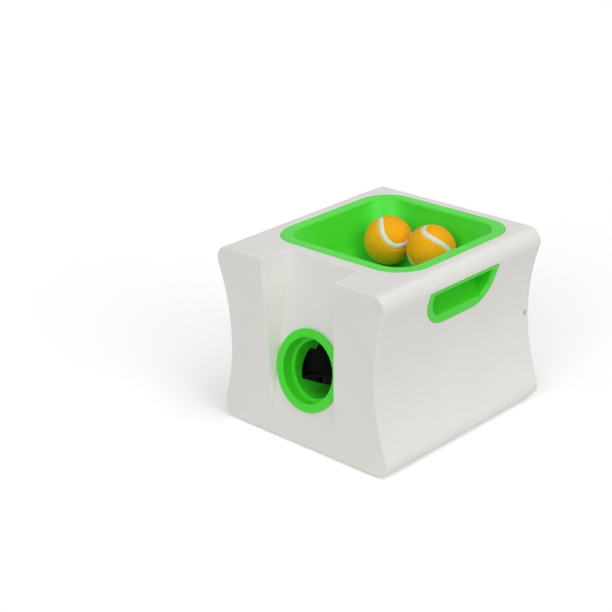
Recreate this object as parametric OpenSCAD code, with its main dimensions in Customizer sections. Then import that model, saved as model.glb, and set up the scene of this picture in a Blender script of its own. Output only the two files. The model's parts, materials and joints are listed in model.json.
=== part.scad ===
// Ball launcher for small dogs: a hopper on top, a nozzle in a notch at the front and two
// motor-driven wheels that throw each ball. +Z is up and the nozzle faces -Y. The origin lies
// on the ground, under the middle of the body. All sizes are in millimetres.

/* [Body] */
// Greatest width of the body, at its top and bottom edges
body_w = 220; // [214:1:236]
// Width of the body at its waist
waist_w = 192; // [188:1:198]
// Depth of the body, front to back
body_l = 233; // [230:1:260]
// Height of the body without its feet
body_h = 185; // [182:1:210]
// Radius of the four long corners
corner_r = 14; // [11:0.5:16]
// Wall thickness of the casing
wall = 3; // [2.4:0.2:3.6]
// Height of the feet below the body
foot_h = 2; // [1:0.5:4]

/* [Ball] */
// Diameter of a ball
ball_d = 50.8; // [48:0.2:53]
// Place of the first ball across the hopper
ball_x = -34.2; // [-36:0.2:-28]
// Place of the first ball along the hopper, from the hopper's middle
ball_y = 32.45; // [26.25:0.1:36.25]
// Direction in which the second ball lies beside the first
ball_turn = 7.9; // [-10:0.1:12]

/* [Notch and nozzle] */
// Width of the notch at its top front edge
notch_w = 94.4; // [92:0.2:104]
// Narrowing of the notch from its top to its lower end
notch_taper = 12; // [6:0.5:14]
// Narrowing of the notch from the front to its slanted wall
notch_draft = 8; // [4:0.5:9]
// Depth of the notch at the top, which sets the launch angle
notch_d = 36.5; // [32:0.5:40]
// Height of the notch's lower end above the underside
notch_low = 26; // [22:0.5:30]
// Distance of the nozzle's centre up the slanted wall
nozzle_up = 52.5; // [51:0.5:58]
// Gap between the nozzle's flange and the sides of the notch
flange_gap = 0.6; // [0.4:0.1:2]
// Thickness of the nozzle's flange
flange_t = 2.5; // [2:0.1:4]
// Inside diameter of the nozzle's mouth
mouth_d = 65.4; // [62:0.2:68]
// Depth of the mouth behind the slanted wall
mouth_depth = 10; // [8:0.5:14]
// Wall thickness of the nozzle's tube
tube_t = 2.8; // [2:0.1:3.4]
// Space around a ball in the throat
throat_clear = 3.4; // [2.4:0.1:4]
// Wall thickness of the throat
throat_t = 2.3; // [1.8:0.1:3]

/* [Hopper] */
// Width of the hopper's rim
hopper_w = 180; // [172:1:184]
// Length of the hopper's rim
hopper_l = 174.5; // [170:0.5:178]
// Distance from the rim's rear edge to the rear of the body
hopper_rear = 9.5; // [8.5:0.5:12]
// Corner radius of the rim
rim_r = 35; // [28:1:42]
// Width of the flat rim
rim_w = 14.5; // [12:0.5:16]
// Thickness of the rim
rim_t = 3; // [2.4:0.2:3.6]
// Depth of the bowl
bowl_depth = 53.5; // [48:0.5:56]
// Radius where the bowl's walls run into its floor
bowl_r = 25; // [20:0.5:27]
// Inward lean of the bowl's walls
bowl_lean = 5; // [3:0.5:8]
// Wall thickness of the bowl
bowl_t = 2.5; // [2:0.1:3]
// Fall of the floor towards the drop hole
floor_fall = 3; // [2:0.5:4]
// Space around a ball in the drop hole
drop_clear = 3.6; // [2.6:0.1:4.2]

/* [Grips] */
// Length of a grip's face
grip_l = 102; // [94:1:108]
// Height of a grip's face
grip_h = 39.5; // [36:0.5:42]
// Distance from the top of the body down to a grip
grip_drop = 17; // [16:0.5:22]
// Radius of a grip's lower corners
grip_r = 30; // [24:0.5:34]
// Width of the face around the grip's opening at its ends
grip_rim = 8; // [6:0.5:10]
// Width of the face above the grip's opening
grip_brow = 3.5; // [3:0.5:5]

/* [Launch wheels] */
// Diameter of a launch wheel
wheel_d = 60; // [56:0.5:62]
// Width of a launch wheel
wheel_w = 30; // [26:0.5:31]
// How far the wheels squeeze a ball
squeeze = 8.8; // [6:0.2:10]
// Distance of the wheels' axes behind the slanted wall
nip_depth = 62; // [58:0.5:64]
// Thickness of a tyre
tyre_t = 6; // [4:0.5:8]
// Number of grooves around a tyre
tyre_grooves = 44; // [24:1:56]
// Diameter of a wheel motor
motor_d = 27.7; // [24:0.1:29]
// Length of a wheel motor
motor_l = 32; // [28:0.5:33]
// Diameter of a motor's shaft
motor_shaft_d = 3; // [2:0.1:4]
// Thickness of the deck that carries the motors
deck_t = 3; // [2.4:0.2:4]

/* [Feeder] */
// Length of the feed arm from its shaft's axis
arm_l = 34; // [31:0.5:35]
// Width of the feed arm
arm_w = 14; // [10:0.5:16]
// Diameter of the feed shaft
feed_shaft_d = 6; // [5:0.5:7]
// Module of the feed gears
gear_m = 1; // [0.8:0.05:1.1]
// Face width of the feed gears
gear_w = 6; // [4:0.5:7]
// Diameter of the feed motor
feed_motor_d = 24; // [20:0.5:26]
// Length of the feed motor
feed_motor_l = 28; // [22:0.5:32]

/* [Battery and controls] */
// Diameter of a cell
cell_d = 26.2; // [24:0.1:27]
// Length of a cell
cell_l = 50; // [46:0.5:51]
// Diameter of the two buttons
button_d = 12; // [9:0.5:13]
// Travel of the two buttons
button_travel = 1; // [0.6:0.1:1.4]
// Depth of the recess that holds the buttons
panel_depth = 4; // [3.5:0.5:6]

/* [Hidden] */
$fn = 96;
hull_fn = 32;
eps = 0.01;
// Gap between fixed pieces that are pushed together
fit = 0.3;
// Gap between flush curved faces of fixed pieces
skin = 0.1;
// Radial gap of a shaft that turns in its bore
running = 0.05;
// Radial gap of a piece that is pressed on its shaft
seat = 0.02;

WHITE = "whitesmoke";
GREEN = "limegreen";
ORANGE = "orange";
BLACK = "#202022";
GREY = "#6a6d70";
STEEL = "silver";
NYLON = "ivory";
BOARD = "darkgreen";
BRASS = "goldenrod";

// Body outline
ground_z = foot_h;
top_z = ground_z + body_h;
mid_z = ground_z + body_h / 2;
front_y = -body_l / 2;
rear_y = body_l / 2;
half_w = body_w / 2;
half_waist = waist_w / 2;
corner_x = half_w - corner_r;
rise = body_h / 2 - corner_r;
side_r = (pow(rise, 2) + pow(corner_x - half_waist, 2) - pow(corner_r, 2)) / (body_w - waist_w);
side_x = half_waist + side_r;
ledge_t = 2.5;
ledge_in = 8;
ledge_out = 3;

// Notch, and the launch frame of reference on its slanted wall
tilt = atan(notch_d / (body_h - notch_low));
nozzle_y = front_y + nozzle_up * sin(tilt);
nozzle_z = ground_z + notch_low + nozzle_up * cos(tilt);
ball_r = ball_d / 2;
throat_r = ball_r + throat_clear;
throat_end = nip_depth - 3;
window_front = 22.7;
window_low = 2.2;
window_h = 30.8;
window_turn = 16.5;
mouth_r = mouth_d / 2;
tube_r = mouth_r + tube_t;
flange_r = notch_half(nozzle_z, nozzle_up * sin(tilt)) - flange_gap;
retainer_t = 4;
retainer_w = 6;
rib_l = 6;
rib_t = 1.2;
rib_turn = 38;

// Launch wheels, in the launch frame of reference
wheel_r = wheel_d / 2;
wheel_x = (ball_d - squeeze) / 2 + wheel_r;
wheel_gap = 4;
wheel_room = 1.5;
lip_y = nip_depth - sqrt(pow(wheel_r + wheel_room, 2) - pow(wheel_x - throat_r - throat_t, 2));
groove_w = 1.6;
groove_d = 1.2;
deck_top = -wheel_w / 2 - wheel_gap;
leg_r = 5;
deck_side = 15;
deck_half = wheel_x + motor_d / 2 + deck_side;
deck_front = nip_depth - wheel_r - wheel_gap;
motor_shaft_r = motor_shaft_d / 2;
motor_boss_r = motor_shaft_r + 3.5;
motor_bore_l = 10;
motor_screw_in = 5;
motor_screw_off = motor_d / 2 - motor_screw_in;
motor_screw_l = 4;
shaft_gap = 0.5;
hub_rim_t = 3;
hub_boss_r = 6;
hub_web_t = 6;
hub_step = 1;
hub_hole_r = 4;

// Feeder, in the launch frame of reference
grab_y = nip_depth + sqrt(pow(wheel_r + ball_r, 2) - pow(wheel_x, 2));
pivot_y = grab_y + ball_r + arm_l;
feed_shaft_r = feed_shaft_d / 2;
pivot_z = 4;
drop_reach = 24.4;
drop_y = grab_y + drop_reach;
trough_clear = 2.1;
trough_r = ball_r + trough_clear;
trough_t = 2.5;
trough_front = nip_depth + wheel_r - 2;
trough_end_t = 2;
trough_rear = drop_y + ball_r + 0.6 + trough_end_t;
cheek_x = trough_r + trough_t + 0.5;
cheek_t = 4;
cheek_eye_r = feed_shaft_r + 6;
cheek_rear = pivot_y + cheek_eye_r + 1;
deck_slot = cheek_x + 0.5;
bridge_t = 3;
bridge_front = throat_end + 2;
bridge_rear = trough_front - 2;
bridge_low = trough_r + trough_t;
deck_rear = cheek_rear + cheek_t;
foot_w = 10;
foot_t = 2.5;
foot_l = 26;
foot_start = trough_front + 6;
foot_screw_y = [foot_start + 6, foot_start + foot_l - 6];
arm_room = 3;
arm_slot = 24;
gear_teeth = 40;
pinion_teeth = 16;
gear_x = cheek_x + cheek_t + 5;
gear_gap = gear_m * (gear_teeth + pinion_teeth) / 2;
bracket_x = gear_x + gear_w + 3;
bracket_t = 3;
bracket_in = 4;
bracket_half = feed_motor_d / 2 + bracket_in;
bracket_foot = 10;
feed_motor_z = pivot_z + gear_gap;
feed_motor_shaft_r = 1.5;
feed_motor_bore = 8;
feed_motor_boss_r = 4;
feed_screw_off = feed_motor_d / 2 - bracket_in;
small_screw_r = 0.95;
small_pilot_r = 1;
small_clear_r = 1.3;
small_head_r = 1.8;
small_screw_l = 4;
arm_t = 6;
arm_hub_r = feed_shaft_r + 4;
clip_t = 1;
clip_w = 2.5;

// Hopper and chute
hopper_y = rear_y - hopper_rear - hopper_l / 2;
inner_w = hopper_w - 2 * rim_w;
inner_l = hopper_l - 2 * rim_w;
floor_z = top_z - bowl_depth;
drop_r = ball_r + drop_clear;
chute_y = launch_y(drop_y, 0);
spigot_l = 10;
spigot_r = drop_r + bowl_t;
spigot_z = floor_z - floor_fall - bowl_t - spigot_l;
chute_t = 2.3;
chute_r = spigot_r + fit;
chute_top = floor_z - floor_fall - bowl_t - 0.6;
chute_low = launch_z(pivot_y, pivot_z) + arm_l + 3;
snap_w = 16;
snap_t = 2.5;
snap_x = inner_w / 2 + bowl_t + 2 * fit + 2;
sensor_z = (chute_low + spigot_z) / 2;
sensor_hole_r = 2.5;
sensor_w = 10;
sensor_h = 12;
sensor_t = 8;
ball_gap = 0.3;
ball_z = floor_z + ball_gap + ball_r;

// Grips
grip_top = top_z - grip_drop;
grip_low = grip_top - grip_h;
grip_in_top = grip_top - grip_brow;
grip_in_low = grip_low + grip_rim;
scoop_r = grip_in_top - grip_in_low;
scoop_x = side_half(grip_in_top);
cup_t = 2;
grip_flange_w = 5;
grip_flange_t = 2.5;

// Base
base_t = 3;
base_in_x = 22;
base_in_y = 18.5;
base_w = body_w - 2 * base_in_x;
base_l = body_l - 2 * base_in_y;
base_r = 12;
base_top = ground_z + base_t;
base_screw_x = base_w / 2 - ledge_in / 2;
base_screw_in = 38;
base_screw_y = [for (y = [-1, 0, 1]) y * (base_l / 2 - base_screw_in)];
boss_r = 4;
boss_h = 10;
edge_gap = 3;
leg_x = base_w / 2 - ledge_in - leg_r - edge_gap;
leg_y = [deck_front + leg_r + 1, deck_rear - leg_r - 1];
foot_r = 8;
foot_sink = 1;
foot_x = base_w / 2 - foot_r - edge_gap;
foot_y = base_l / 2 - foot_r - edge_gap;
screw_r = 1.45;
screw_l = 12;
pilot_r = 1.5;
pilot_l = 14;
clear_r = 1.75;
head_r = 2.8;
head_h = 1.6;
head_gap = 0.2;

// Rear cover, controls and battery
cover_t = wall;
cover_in = rear_y - cover_t;
skirt_t = 2;
skirt_l = 10;
skirt_low = 30;
side_screw_in = 5.2;
side_screw_y = rear_y - side_screw_in;
side_screw_z = mid_z;
side_head_r = 2.4;
side_boss_x = 10.5;
side_boss_h = 12;
cell_r = cell_d / 2;
cell_gap = 0.3;
shelf_t = 2;
tray_t = 2;
tray_low = ground_z + 6;
row_step = cell_d + 2 * cell_gap + shelf_t;
rows = [0, 1, 2];
tray_in_h = 3 * row_step - shelf_t;
cell_nub_l = 1.5;
contact_l = 6;
contact_w = 16;
contact_t = 0.6;
spring_r = 3;
spring_foot_r = 6;
tray_half = cell_l + cell_gap + contact_l;
tray_room = 6;
tray_y = cover_in - cell_d - tray_room;
cell_y = tray_y + tray_t + cell_gap + cell_r;
door_t = 1.8;
door_gap = 0.1;
door_lip = 4;
door_half = tray_half - door_lip;
door_low = tray_low + tray_t + 1;
door_high = tray_low + tray_t + tray_in_h;
door_ear = 10;
door_screw_in = 4;
door_screw_z = door_high + door_ear - door_screw_in;
door_boss_l = 8;
door_head_t = 0.9;
door_head_sink = 1;
door_screw_l = 8;
panel_half_w = 42;
panel_h = 36;
panel_r = 8;
panel_t = 2.5;
panel_rim = 2;
panel_gap = 5.1;
panel_z = door_high + door_ear + panel_gap + panel_h / 2;
panel_y = rear_y - panel_depth;
board_gap = 10;
board_y = panel_y - panel_t - board_gap;
board_t = 1.6;
board_half_w = 44;
board_h = 36;
board_in = 4;
post_r = 3;
board_screw_l = 5;
board_head_r = 2;
board_pilot_l = 7;
button_x = [-24, -4];
button_z = panel_z - 4;
button_r = button_d / 2;
button_proud = panel_depth - 1;
button_flange = 1.5;
button_gap = 0.2;
button_stem_r = 2;
switch_w = 6;
switch_h = 3.5;
plunger_h = 1.5;
plunger_r = 1.7;
light_r = 1.5;
light_x = [-18, -12, -6];
light_up = 10;
light_z = panel_z + light_up;
light_proud = 0.5;
socket_x = 22;
socket_r = 2.75;
socket_pin_r = 1;
socket_l = 9;
socket_half = 4.5;

// Connectors on the board, and the wires that leave them
connector_x = [-28, 12, 22, 32];
connector_half = 3.5;
connector_h = 6;
connector_up = 8;
connector_z = panel_z - board_h / 2 + connector_up;
chip_w = 16;
chip_h = 10;
chip_t = 2;
chip_up = 11;
capacitor_r = 2;
capacitor_l = 7;
capacitor_x = [-24, -19, -14];
capacitor_up = 24;
connector_y = board_y - board_t - connector_h;
wire_r = 1.4;
wire_sides = 8;
wire_steps = 4;
wire_gap = 0.2;
feed_motor_end = bracket_x + bracket_t + feed_motor_l;
terminal_w = 0.8;
terminal_l = 3;
terminal_h = 3;
terminal_y = 6;
terminal_z = deck_top - deck_t - motor_l - terminal_h / 2;
wire_stub = 4;
sensor_end = chute_r + chute_t + sensor_t;
wire_routes = [
    for (side = [-1, 1]) motor_route(side),
    concat(wire_start(2), [[26, 84, 116], [58, 74, 108], [86, 60, 92]],
        wire_end(1, feed_motor_end, launch_y(pivot_y, feed_motor_z), launch_z(pivot_y, feed_motor_z))),
    concat(wire_start(1), [[20, 76, 115], [48, 44, 110]], wire_end(1, sensor_end, chute_y, sensor_z))];

// Straight start of a wire at a connector on the board
function wire_start(index) = [for (y = [wire_gap, wire_stub])
    [connector_x[index], connector_y - y, connector_z]];

// Straight end of a wire that comes from one side to a face across X
function wire_end(side, x, y, z, stub = wire_stub) = [for (out = [stub, wire_gap]) [side * (x + out), y, z]];

// Route of a wheel motor's wire: down beside the deck, then under it to the motor's terminal
function motor_route(side) = concat(wire_start(side < 0 ? 0 : 3),
    [[side * 48, 80, 110], [side * 84, 62, 88], [side * 87, 20, 50], [side * 85, -24, 24]],
    wire_end(side, wheel_x + terminal_w / 2, launch_y(nip_depth - terminal_y, terminal_z),
        launch_z(nip_depth - terminal_y, terminal_z), motor_d / 2 + wire_stub));

// Half-width of the casing's side at height z, a distance inset under its surface
function side_half(z, inset = 0) = side_x - sqrt(pow(side_r + inset, 2) - pow(z - mid_z, 2));

// Half-width of the notch at height z, a distance deep behind the front face
function notch_half(z, deep) =
    (notch_w - notch_taper * (top_z - z) / (body_h - notch_low) - notch_draft * deep / notch_d) / 2;

// World places of a point at distance y behind the slanted wall and z above the launch axis
function launch_y(y, z) = nozzle_y + y * cos(tilt) + z * sin(tilt);
function launch_z(y, z) = nozzle_z - y * sin(tilt) + z * cos(tilt);

// Moves its children from the launch frame of reference to their place
module launch_space() {
    translate([0, nozzle_y, nozzle_z]) rotate([-tilt, 0, 0]) children();
}

// Extrudes an outline in X and Z, drawn about the body's middle height, from y0 to y1
module along_y(y0, y1) {
    translate([0, y1, mid_z]) rotate([90, 0, 0]) linear_extrude(y1 - y0) children();
}

// Extrudes an outline in Y and Z from x0 to x1
module along_x(x0, x1) {
    translate([x0, 0, 0]) rotate([90, 0, 90]) linear_extrude(x1 - x0) children();
}

// Round rod along X, Y or Z between two places
module rod_x(r, x0, x1) {
    translate([x0, 0, 0]) rotate([0, 90, 0]) cylinder(r = r, h = x1 - x0);
}

module rod_y(r, y0, y1) {
    translate([0, y0, 0]) rotate([-90, 0, 0]) cylinder(r = r, h = y1 - y0);
}

module rod_z(r, z0, z1) {
    translate([0, 0, z0]) cylinder(r = r, h = z1 - z0);
}

// Block between two opposite corners
module block(low, high) {
    translate(low) cube(high - low);
}

module rounded(w, l, r) {
    square([w - 2 * r, l], center = true);
    square([w, l - 2 * r], center = true);
    for (x = [-1, 1], y = [-1, 1])
        translate([x * (w / 2 - r), y * (l / 2 - r)]) circle(r);
}

// Screw along -Z with the underside of its head at the origin
module screw(length, radius = screw_r, head = head_r) {
    difference() {
        union() {
            rod_z(head, 0, head_h);
            rod_z(radius, -length, eps);
        }
        for (turn = [0, 90])
            rotate([0, 0, turn])
                translate([-head * 0.6, -0.35, head_h - 0.8]) cube([head * 1.2, 0.7, 1]);
    }
}

// Spur gear of stub involute teeth about Z, with a tooth centred on +X
module spur(teeth, width, bore) {
    pitch = gear_m * teeth / 2;
    base = pitch * cos(20);
    tip = pitch + 0.8 * gear_m;
    root = pitch - 1.1 * gear_m;
    flank_steps = 4;
    pitch_half = 90 / teeth - 2.5 / teeth;
    function roll(r) = r <= base ? 0 : tan(acos(base / r)) * 180 / PI - acos(base / r);
    function flank(r) = pitch_half + roll(pitch) - roll(r);
    flank_r = [for (i = [0:flank_steps]) max(root, base) + (tip - max(root, base)) * i / flank_steps];
    function at(r, a) = [r * cos(a), r * sin(a)];
    points = [for (i = [0:teeth - 1]) let (middle = 360 * i / teeth) each concat(
        [at(root, middle - flank(base))],
        [for (r = flank_r) at(r, middle - flank(r))],
        [for (k = [flank_steps:-1:0]) at(flank_r[k], middle + flank(flank_r[k]))],
        [at(root, middle + flank(base))])];
    difference() {
        linear_extrude(width) polygon(points);
        rod_z(bore, -1, width + 1);
    }
}

// Hourglass section of the casing, a distance inset under its surface
module body_profile(inset = 0) {
    reach = (corner_r - inset) / (side_r + corner_r);
    tangent_x = corner_x + (side_x - corner_x) * reach;
    tangent_z = rise * (1 - reach);
    difference() {
        union() {
            square([2 * tangent_x, 2 * tangent_z], center = true);
            square([2 * corner_x, body_h - 2 * inset], center = true);
            for (x = [-1, 1], z = [-1, 1])
                translate([x * corner_x, z * rise]) circle(corner_r - inset);
        }
        for (x = [-1, 1])
            intersection() {
                translate([x * side_x, 0]) circle(side_r + inset);
                square([4 * side_x, 2 * tangent_z], center = true);
            }
    }
}

// Wedge of the notch, grown by a wall's thickness where it is used as a casing
module notch_wedge(grow = 0) {
    ahead = 5;
    above = 5;
    grow_y = grow / cos(tilt);
    high = top_z + above;
    function wall_y(z) = front_y + (z - ground_z - notch_low) * tan(tilt) + grow_y;
    low = ground_z + notch_low - (ahead + grow_y) / tan(tilt);
    function side(z, y) = notch_half(z, y - front_y - grow_y) + grow;
    function corners(x) = [
        [x * side(low, front_y - ahead), front_y - ahead, low],
        [x * side(high, front_y - ahead), front_y - ahead, high],
        [x * side(high, wall_y(high)), wall_y(high), high]];
    polyhedron(concat(corners(-1), corners(1)),
        [[2, 1, 0], [3, 4, 5], [1, 4, 3, 0], [2, 5, 4, 1], [0, 3, 5, 2]]);
}

module rim_outline(grow = 0) {
    translate([0, hopper_y]) rounded(hopper_w + 2 * grow, hopper_l + 2 * grow, rim_r + grow);
}

module bowl_outline(grow = 0) {
    translate([0, hopper_y]) rounded(inner_w + 2 * grow, inner_l + 2 * grow, rim_r - rim_w + grow);
}

module base_outline(grow = 0) {
    rounded(base_w + 2 * grow, base_l + 2 * grow, base_r + grow);
}

// Face of a grip in Y and Z: square above, with round lower corners
module grip_outline(half, high, low, r) {
    intersection() {
        translate([-half, low]) square([2 * half, high - low]);
        union() {
            translate([-half, low + r]) square([2 * half, high]);
            translate([-half + r, low]) square([2 * (half - r), high]);
            for (y = [-1, 1])
                translate([y * (half - r), low + r]) circle(r);
        }
    }
}

module grip_face(grow = 0) {
    grip_outline(grip_l / 2 + grow, grip_top + grow, grip_low - grow, grip_r + grow);
}

module grip_opening(grow = 0) {
    grip_outline(grip_l / 2 - grip_rim + grow, grip_in_top + grow, grip_in_low - grow,
        grip_r - grip_rim + grow);
}

// White casing: front, top and sides, with the notch and the ledges for the pieces set into it
module shell() {
    color(WHITE) difference() {
        union() {
            difference() {
                along_y(front_y, rear_y) body_profile();
                along_y(front_y + wall, rear_y + 1) body_profile(wall);
            }
            intersection() {
                along_y(front_y, rear_y) body_profile();
                notch_wedge(wall);
            }
            translate([0, 0, top_z - rim_t - ledge_t])
                linear_extrude(rim_t + ledge_t - wall / 2) rim_outline(fit + ledge_out);
            translate([0, 0, ground_z + wall / 2])
                linear_extrude(base_t + ledge_t - wall / 2) base_outline(fit + ledge_out);
            for (x = [-1, 1], y = base_screw_y)
                translate([x * base_screw_x, y, 0]) rod_z(boss_r, base_top + eps, base_top + boss_h);
        }
        notch_wedge();
        translate([0, 0, top_z - rim_t]) linear_extrude(rim_t + 1) rim_outline(fit);
        translate([0, 0, mid_z]) linear_extrude(body_h) bowl_outline(bowl_t + 2 * fit);
        translate([0, 0, ground_z - 1]) linear_extrude(base_t + 1) base_outline(fit);
        translate([0, 0, ground_z - 1])
            linear_extrude(base_t + ledge_t + 2) base_outline(-ledge_in);
        for (x = [-1, 1], y = base_screw_y)
            translate([x * base_screw_x, y, 0]) rod_z(pilot_r, ground_z, base_top + boss_h - 2);
        launch_space() rod_y(tube_r + fit, -flange_t, wall + 2);
        along_x(-half_w - 1, half_w + 1) grip_face();
        for (x = [-1, 1])
            translate([0, side_screw_y, side_screw_z]) {
                rod_x(clear_r, min(0, x * half_w), max(0, x * half_w));
                translate([x * (half_waist - head_h - head_gap), 0, 0])
                    rod_x(side_head_r + skin, min(0, x * corner_r), max(0, x * corner_r));
            }
    }
}

// Rear cover with side skirts, a recessed control panel and the battery opening
module rear_cover() {
    low = mid_z - ground_z - skirt_low;
    color(WHITE) difference() {
        union() {
            along_y(cover_in, rear_y) body_profile(wall + fit);
            intersection() {
                along_y(cover_in - skirt_l, cover_in + eps) difference() {
                    body_profile(wall + fit);
                    body_profile(wall + fit + skirt_t);
                }
                block([-half_w, 0, mid_z - low], [half_w, rear_y, mid_z + low]);
            }
            for (x = [-1, 1])
                side_block(x, side_half(side_screw_z, wall + fit + skirt_t) - side_boss_x,
                    side_half(side_screw_z, wall + fit + skirt_t) + skirt_t / 4, cover_in - skirt_l,
                    cover_in + eps, side_screw_z - side_boss_h / 2, side_screw_z + side_boss_h / 2);
            along_y(panel_y - panel_t, cover_in + eps)
                translate([0, panel_z - mid_z])
                    rounded(2 * (panel_half_w + panel_rim), panel_h + 2 * panel_rim, panel_r + panel_rim);
            translate([0, 0, door_screw_z]) rod_y(boss_r, cover_in - door_boss_l, cover_in + eps);
            board_corners() rod_y(post_r, board_y, panel_y - panel_t / 2);
        }
        along_y(panel_y, rear_y + 1) translate([0, panel_z - mid_z])
            rounded(2 * panel_half_w, panel_h, panel_r);
        for (x = button_x)
            translate([x, 0, button_z]) rod_y(button_r + fit, panel_y - panel_t - 1, panel_y + 1);
        for (x = light_x)
            translate([x, 0, light_z]) rod_y(light_r + skin, panel_y - panel_t - 1, panel_y + 1);
        translate([socket_x, 0, button_z])
            rod_y(socket_half + skin, panel_y - panel_t - 1, panel_y + 1);
        board_corners() rod_y(small_pilot_r, board_y - 1, board_y + board_pilot_l);
        block([-door_half + door_lip, cover_in - 1, door_low + door_lip],
            [door_half - door_lip, rear_y + 1, door_high - door_lip]);
        block([-door_half - fit, rear_y - door_t - door_gap, door_low - fit],
            [door_half + fit, rear_y + 1, door_high + fit]);
        block([-door_ear - fit, rear_y - door_t - door_gap, door_high],
            [door_ear + fit, rear_y + 1, door_high + door_ear + fit]);
        translate([0, 0, door_screw_z]) rod_y(pilot_r, cover_in - door_boss_l + 1, rear_y);
        for (x = [-1, 1])
            translate([0, side_screw_y, side_screw_z])
                rod_x(pilot_r, min(x * (half_waist - screw_l - boss_r), x * half_w),
                    max(x * (half_waist - screw_l - boss_r), x * half_w));
    }
}

// Repeats its children at the four screws of the board
module board_corners() {
    for (x = [-1, 1], z = [-1, 1])
        translate([x * (board_half_w - board_in), 0, panel_z + z * (board_h / 2 - board_in)]) children();
}

// Flat plate that closes the casing from below
module base_plate() {
    color(WHITE) difference() {
        translate([0, 0, ground_z]) linear_extrude(base_t) base_outline();
        for (x = [-1, 1], y = base_screw_y)
            translate([x * base_screw_x, y, 0]) screw_hole();
        legs() screw_hole();
        for (x = [-1, 1], y = [-1, 1])
            translate([x * foot_x, y * foot_y, 0]) rod_z(foot_r + skin, ground_z - 1, ground_z + foot_sink);
    }
}

// Repeats its children at the foot of each leg of the launch frame
module legs() {
    for (x = [-1, 1], y = leg_y)
        translate([x * leg_x, launch_y(y, deck_top - deck_t / 2), 0]) children();
}

// Counterbored hole through the base plate
module screw_hole() {
    rod_z(clear_r, ground_z - 1, base_top + 1);
    rod_z(head_r + head_gap, ground_z - 1, ground_z + head_h);
}

// Green bowl with a flat rim, set flush into the top of the casing
module hopper() {
    color(GREEN) difference() {
        union() {
            translate([0, 0, top_z - rim_t]) linear_extrude(rim_t) rim_outline();
            bowl(bowl_t, top_z - rim_t);
            translate([0, chute_y, 0]) rod_z(spigot_r, spigot_z, floor_z);
            for (x = [-1, 1], y = [-1, 1])
                translate([0, hopper_y + y * inner_l / 4, top_z - rim_t - ledge_t - fit])
                    side_block(x, inner_w / 2 - rim_t, snap_x, -snap_w / 2, snap_w / 2, -snap_t, 0);
        }
        bowl(0, top_z + 1);
        translate([0, chute_y, 0]) rod_z(drop_r, spigot_z - 1, floor_z + 1);
    }
}

// Bowl's space, or with a thickness its outside, up to a level
module bowl(grow, level) {
    hull($fn = hull_fn) {
        translate([0, 0, level - 1]) linear_extrude(1) bowl_outline(grow);
        for (x = [-1, 1], y = [-1, 1])
            translate([x * (inner_w / 2 - bowl_lean - bowl_r),
                hopper_y + y * (inner_l / 2 - bowl_lean - bowl_r), floor_z + bowl_r])
                sphere(bowl_r + grow);
        translate([0, chute_y, floor_z - floor_fall - grow]) cylinder(r = drop_r + 2 + grow, h = 1);
    }
}

// Green nozzle: a flange on the slanted wall, a wide mouth with a small rib, and a narrower throat with
// a window at each side for the wheels
module nozzle() {
    color(GREEN) launch_space() difference() {
        union() {
            rod_y(flange_r, -flange_t, -seat);
            rod_y(tube_r, -flange_t + eps, mouth_depth + throat_t);
            rod_y(throat_r + throat_t, mouth_depth, throat_end);
        }
        difference() {
            rod_y(mouth_r, -flange_t - 1, mouth_depth);
            rotate([0, rib_turn, 0])
                block([-mouth_r - 1, mouth_depth - rib_l, -rib_t / 2],
                    [rib_t - mouth_r, mouth_depth + 1, rib_t / 2]);
        }
        rod_y(throat_r, mouth_depth - 1, throat_end + 1);
        translate([0, window_front, -window_low]) rotate([-window_turn, 0, 0])
            block([-tube_r, 0, -window_h / 2], [tube_r, throat_end, window_h / 2]);
        block([-tube_r, lip_y, -wheel_w / 2 - wheel_room],
            [tube_r, throat_end + 1, wheel_w / 2 + wheel_room]);
    }
}

// Ring that holds the nozzle from behind the slanted wall
module nozzle_retainer() {
    color(BLACK) launch_space() difference() {
        rod_y(tube_r + retainer_w, wall + seat, wall + retainer_t);
        rod_y(tube_r + seat, wall - 1, wall + retainer_t + 1);
    }
}

// Green grip cup in the right side, flush with the casing around it
module handle_cup_right() {
    half = grip_l / 2 + grip_flange_w + 1;
    behind = wall + skin;
    color(GREEN) difference() {
        union() {
            intersection() {
                along_y(-half, half) difference() {
                    body_profile();
                    body_profile(behind + grip_flange_t);
                }
                along_x(mid_cut(), half_w + 1) grip_face(-fit / 2);
            }
            intersection() {
                along_y(-half, half) difference() {
                    body_profile(behind);
                    body_profile(behind + grip_flange_t);
                }
                along_x(mid_cut(), half_w + 1) grip_face(grip_flange_w);
            }
            intersection() {
                along_y(-half, half) body_profile(behind);
                along_x(mid_cut(), half_w + 1) grip_opening(cup_t);
                scoop(cup_t);
            }
        }
        intersection() {
            along_x(mid_cut(), half_w + 2) grip_opening();
            scoop(0);
        }
    }
}

// Plane inside the body from which the grips are drawn outwards
function mid_cut() = scoop_x - scoop_r - cup_t - 1;

module scoop(grow) {
    half = grip_l / 2 + grip_flange_w;
    translate([scoop_x, 0, grip_in_top]) rod_y(scoop_r + grow, -half, half);
}

module handle_cup_left() {
    mirror([1, 0, 0]) handle_cup_right();
}

module rubber_feet() {
    color(BLACK) for (x = [-1, 1], y = [-1, 1])
        translate([x * foot_x, y * foot_y, 0]) rod_z(foot_r, 0, ground_z + foot_sink);
}

module base_screws() {
    color(STEEL) for (x = [-1, 1], y = base_screw_y)
        translate([x * base_screw_x, y, ground_z + head_h])
            mirror([0, 0, 1]) screw(base_t + boss_h - head_h - wall);
}

module side_screws() {
    color(STEEL) for (x = [-1, 1])
        translate([x * (half_waist - head_h - head_gap), side_screw_y, side_screw_z])
            rotate([0, x * 90, 0]) screw(screw_l, screw_r, side_head_r);
}

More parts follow.
